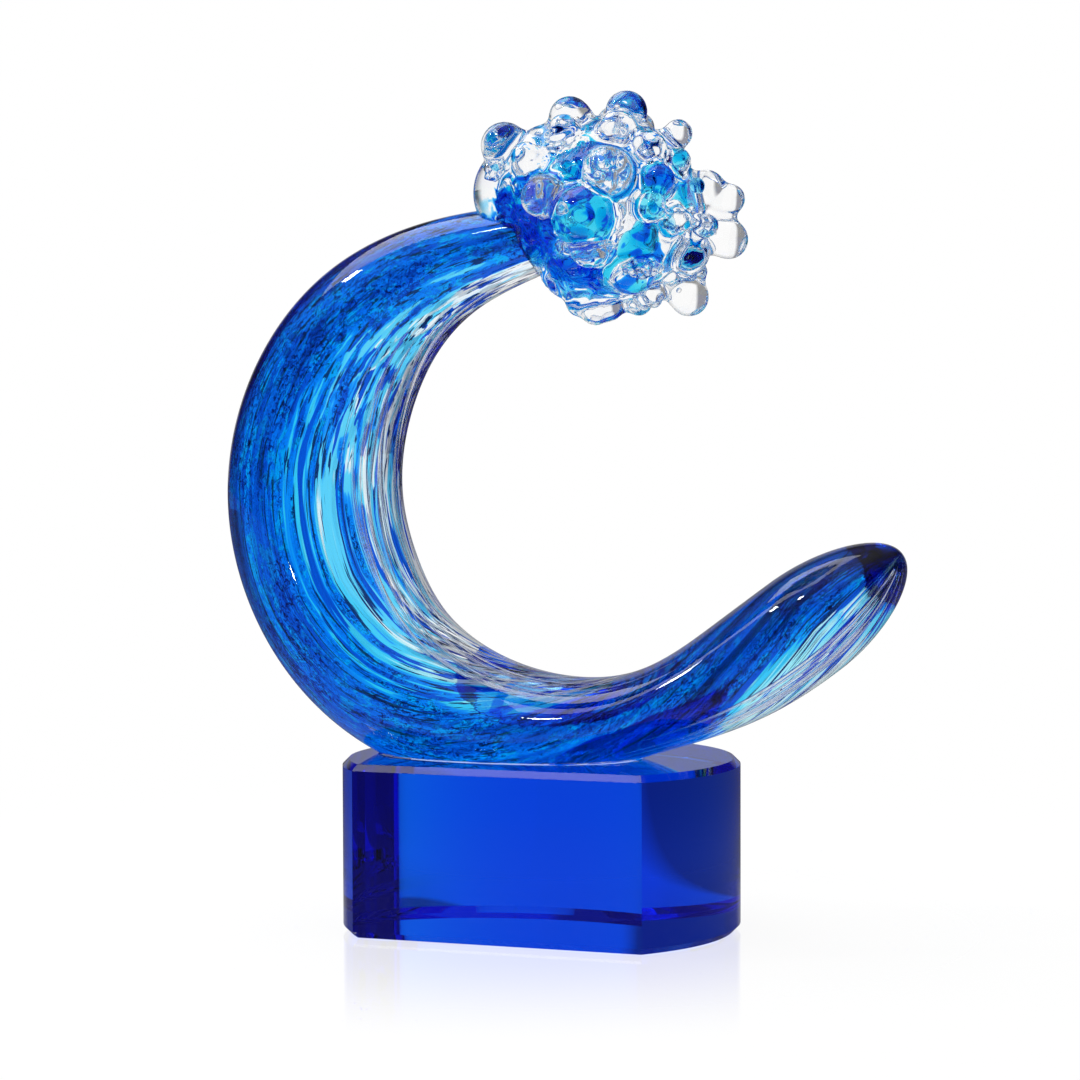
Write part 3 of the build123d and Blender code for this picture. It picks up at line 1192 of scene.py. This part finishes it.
class GLASSWAVE_OT_stage(bpy.types.Operator):
    """Set up the floor, the studio light and the camera"""

    bl_idname = "glasswave.stage"
    bl_label = "Stage"

    def execute(self, context):
        scene = context.scene
        self.floor(context)
        self.world(scene)
        self.lamps(context)
        self.camera(context)
        scene.view_settings.view_transform = "Standard"
        scene.cycles.max_bounces = 32
        scene.cycles.transmission_bounces = 32
        scene.cycles.glossy_bounces = 12
        scene.cycles.transparent_max_bounces = 32
        return {"FINISHED"}

    def floor(self, context):
        stage = context.scene.glass_wave_stage
        start_clean()
        bpy.ops.mesh.primitive_plane_add(size=stage.floor_size, location=(0, 0, -0.2 * MM))
        floor = settle(context.object, "floor")
        material, tree = new_material("acrylic_white_sheet")
        spot = add_node(tree, "ShaderNodeTexCoord").outputs["Object"]
        away = add_node(tree, "ShaderNodeVectorMath", {"operation": "LENGTH"}, i0=spot)
        away = away.outputs["Value"]

        def fade(start, end, value):
            return add_node(
                tree, "ShaderNodeMapRange", {"interpolation_type": "SMOOTHSTEP"},
                Value=away, From_Min=start, From_Max=end, To_Min=value, To_Max=0.0,
            ).outputs["Result"]

        near = fade(0.08, 0.34, stage.shade)
        shine = fade(0.040, 0.150, stage.shine)
        path = add_node(tree, "ShaderNodeLightPath")
        dimmed = add_node(
            tree, "ShaderNodeMath", {"operation": "MULTIPLY"},
            i0=path.outputs["Is Glossy Ray"], i1=0.08,
        )
        seen = add_node(
            tree, "ShaderNodeMath", {"operation": "MAXIMUM"},
            i0=path.outputs["Is Camera Ray"], i1=dimmed.outputs["Value"],
        )
        # The backdrop's ring runs on over the floor, past the block
        from_middle = add_node(
            tree, "ShaderNodeVectorMath", {"operation": "SUBTRACT"}, i0=spot, i1=(0, 0, 0.10)
        ).outputs["Vector"]
        from_middle = add_node(
            tree, "ShaderNodeVectorMath", {"operation": "NORMALIZE"}, i0=from_middle
        ).outputs["Vector"]
        clear = add_node(
            tree, "ShaderNodeMapRange", {"interpolation_type": "SMOOTHSTEP"},
            Value=away, From_Min=0.07, From_Max=0.12, To_Min=0.0, To_Max=0.5,
        ).outputs["Result"]
        # The card's foot stands on the floor, starting close behind the block
        beyond = add_node(
            tree, "ShaderNodeMath", {"operation": "SUBTRACT"}, i0=away, i1=30 * MM
        )
        beyond = add_node(
            tree, "ShaderNodeMath", {"operation": "MAXIMUM"},
            i0=beyond.outputs["Value"], i1=10 * MM,
        )
        card_foot = add_node(
            tree, "ShaderNodeVectorMath", {"operation": "DIVIDE"},
            i0=spot, i1=beyond.outputs["Value"],
        ).outputs["Vector"]
        ring, _ = self.backdrop(tree, from_middle, card_foot, clear)
        through = add_node(
            tree, "ShaderNodeMath", {"operation": "MULTIPLY"},
            i0=ring, i1=path.outputs["Is Transmission Ray"],
        )
        seen = add_node(
            tree, "ShaderNodeMath", {"operation": "MAXIMUM"},
            i0=seen.outputs["Value"], i1=through.outputs["Value"],
        )
        left = add_node(tree, "ShaderNodeMath", {"operation": "SUBTRACT"}, i0=1.0, i1=near)
        # Less its own white where it mirrors the sheet behind
        left = add_node(
            tree, "ShaderNodeMath", {"operation": "MULTIPLY_ADD"},
            i0=shine, i1=-SHEET_SHADE, i2=left.outputs["Value"],
        )
        glow = add_node(
            tree, "ShaderNodeMath", {"operation": "MULTIPLY"},
            i0=left.outputs["Value"], i1=seen.outputs["Value"],
        )
        emission = add_node(
            tree, "ShaderNodeEmission", Color=(1, 1, 1, 1), Strength=glow.outputs["Value"]
        )
        colour = add_node(
            tree, "ShaderNodeCombineColor", i0=near, i1=near, i2=near
        )
        diffuse = add_node(tree, "ShaderNodeBsdfDiffuse", Color=colour.outputs["Color"])
        matt = add_node(
            tree, "ShaderNodeAddShader", i0=emission.outputs["Emission"], i1=diffuse.outputs["BSDF"]
        )
        mirror = add_node(tree, "ShaderNodeCombineColor", i0=shine, i1=shine, i2=shine)
        gloss = add_node(
            tree, "ShaderNodeBsdfGlossy", Color=mirror.outputs["Color"], Roughness=0.03
        )
        both = add_node(
            tree, "ShaderNodeAddShader", i0=matt.outputs["Shader"], i1=gloss.outputs["BSDF"]
        )
        finish_material(tree, both.outputs["Shader"])
        floor.data.materials.append(material)

    def backdrop(self, tree, direction, card_direction, strength=1.0):
        """What glass bends into view: white in front and behind, a ring between
        them, dark on one side, and a grey card that only the block shows."""
        ahead, aside = (
            add_node(
                tree, "ShaderNodeVectorMath", {"operation": "DOT_PRODUCT"}, i0=toward, i1=axis
            ).outputs["Value"]
            for toward, axis in ((direction, SHOW_SIDE), (card_direction, CARD_SIDE))
        )
        turned = add_node(tree, "ShaderNodeMath", {"operation": "ABSOLUTE"}, i0=ahead)
        dark, pale = (
            ramp(
                tree,
                turned.outputs["Value"],
                ((0.06, (0.5,) * 3), (0.16, (shade,) * 3), (0.52, (shade,) * 3), (0.69, (1, 1, 1))),
            )
            for shade in (0.12, 0.18)
        )
        half = ramp(tree, aside, ((0.0, (0, 0, 0)), (0.3, (1, 1, 1))))
        ring = add_node(
            tree, "ShaderNodeMix", {"data_type": "RGBA"}, i0=half, i6=dark, i7=pale
        ).outputs[2]
        # Open towards the lamps overhead
        height = add_node(tree, "ShaderNodeSeparateXYZ", Vector=direction).outputs["Z"]
        above = ramp(tree, height, ((0.12, (0, 0, 0)), (0.5, (0.85,) * 3)))
        ring = add_node(
            tree, "ShaderNodeMix", {"data_type": "RGBA"}, i0=above, i6=ring, i7=(1, 1, 1, 1)
        ).outputs[2]
        ring = add_node(
            tree, "ShaderNodeMix", {"data_type": "RGBA"}, i0=strength, i6=(1, 1, 1, 1), i7=ring
        ).outputs[2]
        # The painted white streaks in the glass, standing in for bent backdrop light, are lit from the
        # whole white studio
        path = add_node(tree, "ShaderNodeLightPath")
        matt = add_node(
            tree, "ShaderNodeMath", {"operation": "MINIMUM"},
            i0=path.outputs["Diffuse Depth"], i1=1.0,
        )
        ring = add_node(
            tree, "ShaderNodeMix", {"data_type": "RGBA"},
            i0=matt.outputs["Value"], i6=ring, i7=(1, 1, 1, 1),
        ).outputs[2]
        # Light through the block alone has crossed two surfaces, through the wave more
        alone = add_node(
            tree, "ShaderNodeMath", {"operation": "LESS_THAN"},
            i0=path.outputs["Transmission Depth"], i1=2.5,
        ).outputs["Value"]
        card = ramp(tree, aside, ((0.20, (0, 0, 0)), (0.32, (1, 1, 1))))
        card = add_node(tree, "ShaderNodeMath", {"operation": "MULTIPLY"}, i0=alone, i1=card)
        ring = add_node(
            tree, "ShaderNodeMix", {"data_type": "RGBA", "blend_type": "DARKEN"},
            i0=card.outputs["Value"], i6=ring, i7=(0.30, 0.30, 0.34, 1),
        ).outputs[2]
        return ring, ahead

    def world(self, scene):
        world = bpy.data.worlds.new("white_studio")
        scene.world = world
        world.use_nodes = True
        tree = world.node_tree
        tree.nodes.clear()
        direction = add_node(tree, "ShaderNodeTexCoord").outputs["Generated"]
        parts = add_node(tree, "ShaderNodeSeparateXYZ", Vector=direction)
        path = add_node(tree, "ShaderNodeLightPath")
        # Reflections: dark round the horizon, lighter overhead
        overhead = ramp(
            tree,
            parts.outputs["Z"],
            ((0.0, (0.02,) * 3), (0.40, (0.03,) * 3), (0.85, (0.22,) * 3), (1.0, (0.4,) * 3)),
        )
        through, ahead = self.backdrop(tree, direction, direction)
        behind = add_node(tree, "ShaderNodeMath", {"operation": "MULTIPLY"}, i0=ahead, i1=-1.0)
        sheet = ramp(tree, behind.outputs["Value"], ((0.86, (0, 0, 0)), (0.94, (SHEET_SHADE,) * 3)))
        overhead = add_node(
            tree, "ShaderNodeMix", {"data_type": "RGBA", "blend_type": "LIGHTEN"},
            i0=1.0, i6=overhead, i7=sheet,
        ).outputs[2]
        colour = add_node(
            tree, "ShaderNodeMix", {"data_type": "RGBA"},
            i0=path.outputs["Is Glossy Ray"], i6=(0.8, 0.8, 0.8, 1), i7=overhead,
        ).outputs[2]
        colour = add_node(
            tree, "ShaderNodeMix", {"data_type": "RGBA"},
            i0=path.outputs["Is Transmission Ray"], i6=colour, i7=through,
        ).outputs[2]
        colour = add_node(
            tree, "ShaderNodeMix", {"data_type": "RGBA"},
            i0=path.outputs["Is Camera Ray"], i6=colour, i7=(1, 1, 1, 1),
        ).outputs[2]
        background = add_node(tree, "ShaderNodeBackground", Color=colour, Strength=1.0)
        out = add_node(tree, "ShaderNodeOutputWorld", Surface=background.outputs["Background"])
        return out

    def lamps(self, context):
        middle = Vector((-0.02, 0, 0.11))
        for name, direction, width, height, roll, brightness in LAMP_SHARES:
            light = bpy.data.lights.new(name, "AREA")
            light.shape = "RECTANGLE"
            light.size = width
            light.size_y = height
            # An area lamp's radiance is its power over pi times its area
            light.energy = brightness * width * height * math.pi
            lamp = bpy.data.objects.new(name, light)
            context.collection.objects.link(lamp)
            away = Vector(direction).normalized()
            lamp.location = middle + away * 1.2
            turn = away.to_track_quat("Z", "Y") @ Quaternion((0, 0, 1), math.radians(roll))
            lamp.rotation_euler = turn.to_euler()
            lamp.visible_camera = False
            lamp.visible_transmission = False
        light = bpy.data.lights.new("softbox_overhead", "AREA")
        light.shape = "RECTANGLE"
        light.size = 0.95
        light.size_y = 0.85
        light.energy = 2.1 * 0.95 * 0.85 * math.pi
        lamp = bpy.data.objects.new("softbox_overhead", light)
        context.collection.objects.link(lamp)
        away = Vector((-0.47, 0.18, 0.86)).normalized()
        lamp.location = middle + away * 1.2
        lamp.rotation_euler = away.to_track_quat("Z", "Y").to_euler()
        lamp.visible_camera = False
        lamp.visible_transmission = False

    def camera(self, context):
        data = bpy.data.cameras.new("camera")
        data.sensor_width = 36
        data.lens = CAMERA_LENS
        data.clip_start = 0.01
        data.clip_end = 50
        camera = bpy.data.objects.new("camera", data)
        context.collection.objects.link(camera)
        right, up = Vector(CAMERA_RIGHT), Vector(CAMERA_UP)
        back = -Vector(CAMERA_FORWARD)
        turn = Matrix((right, up, back)).transposed()
        camera.matrix_world = Matrix.Translation(CAMERA_PLACE) @ turn.to_4x4()
        context.scene.camera = camera


# Panel and registration

STEPS = ("block", "cement", "wave", "crest", "crest_colour", "stage")


class GLASSWAVE_PT_panel(bpy.types.Panel):
    """Sizes, colours and steps of the glass wave"""

    bl_idname = "GLASSWAVE_PT_panel"
    bl_label = "Glass Wave"
    bl_space_type = "VIEW_3D"
    bl_region_type = "UI"
    bl_category = "Glass Wave"

    def draw(self, context):
        layout = self.layout
        scene = context.scene
        for group in (
            scene.glass_wave_block,
            scene.glass_wave_body,
            scene.glass_wave_crest,
            scene.glass_wave_stage,
        ):
            box = layout.box()
            for name in group.__annotations__:
                box.prop(group, name)
        for step in STEPS:
            layout.operator("glasswave." + step)


CLASSES = (
    GlassWaveBlock,
    GlassWaveBody,
    GlassWaveCrest,
    GlassWaveStage,
    GLASSWAVE_OT_block,
    GLASSWAVE_OT_cement,
    GLASSWAVE_OT_wave,
    GLASSWAVE_OT_crest,
    GLASSWAVE_OT_crest_colour,
    GLASSWAVE_OT_stage,
    GLASSWAVE_PT_panel,
)
GROUPS = (
    ("glass_wave_block", GlassWaveBlock),
    ("glass_wave_body", GlassWaveBody),
    ("glass_wave_crest", GlassWaveCrest),
    ("glass_wave_stage", GlassWaveStage),
)


def register():
    for item in CLASSES:
        bpy.utils.register_class(item)
    for name, group in GROUPS:
        setattr(bpy.types.Scene, name, bpy.props.PointerProperty(type=group))


def unregister():
    for name, _ in GROUPS:
        delattr(bpy.types.Scene, name)
    for item in reversed(CLASSES):
        bpy.utils.unregister_class(item)


def main():
    register()
    for step in STEPS:
        getattr(bpy.ops.glasswave, step)()


if __name__ == "__main__":
    main()
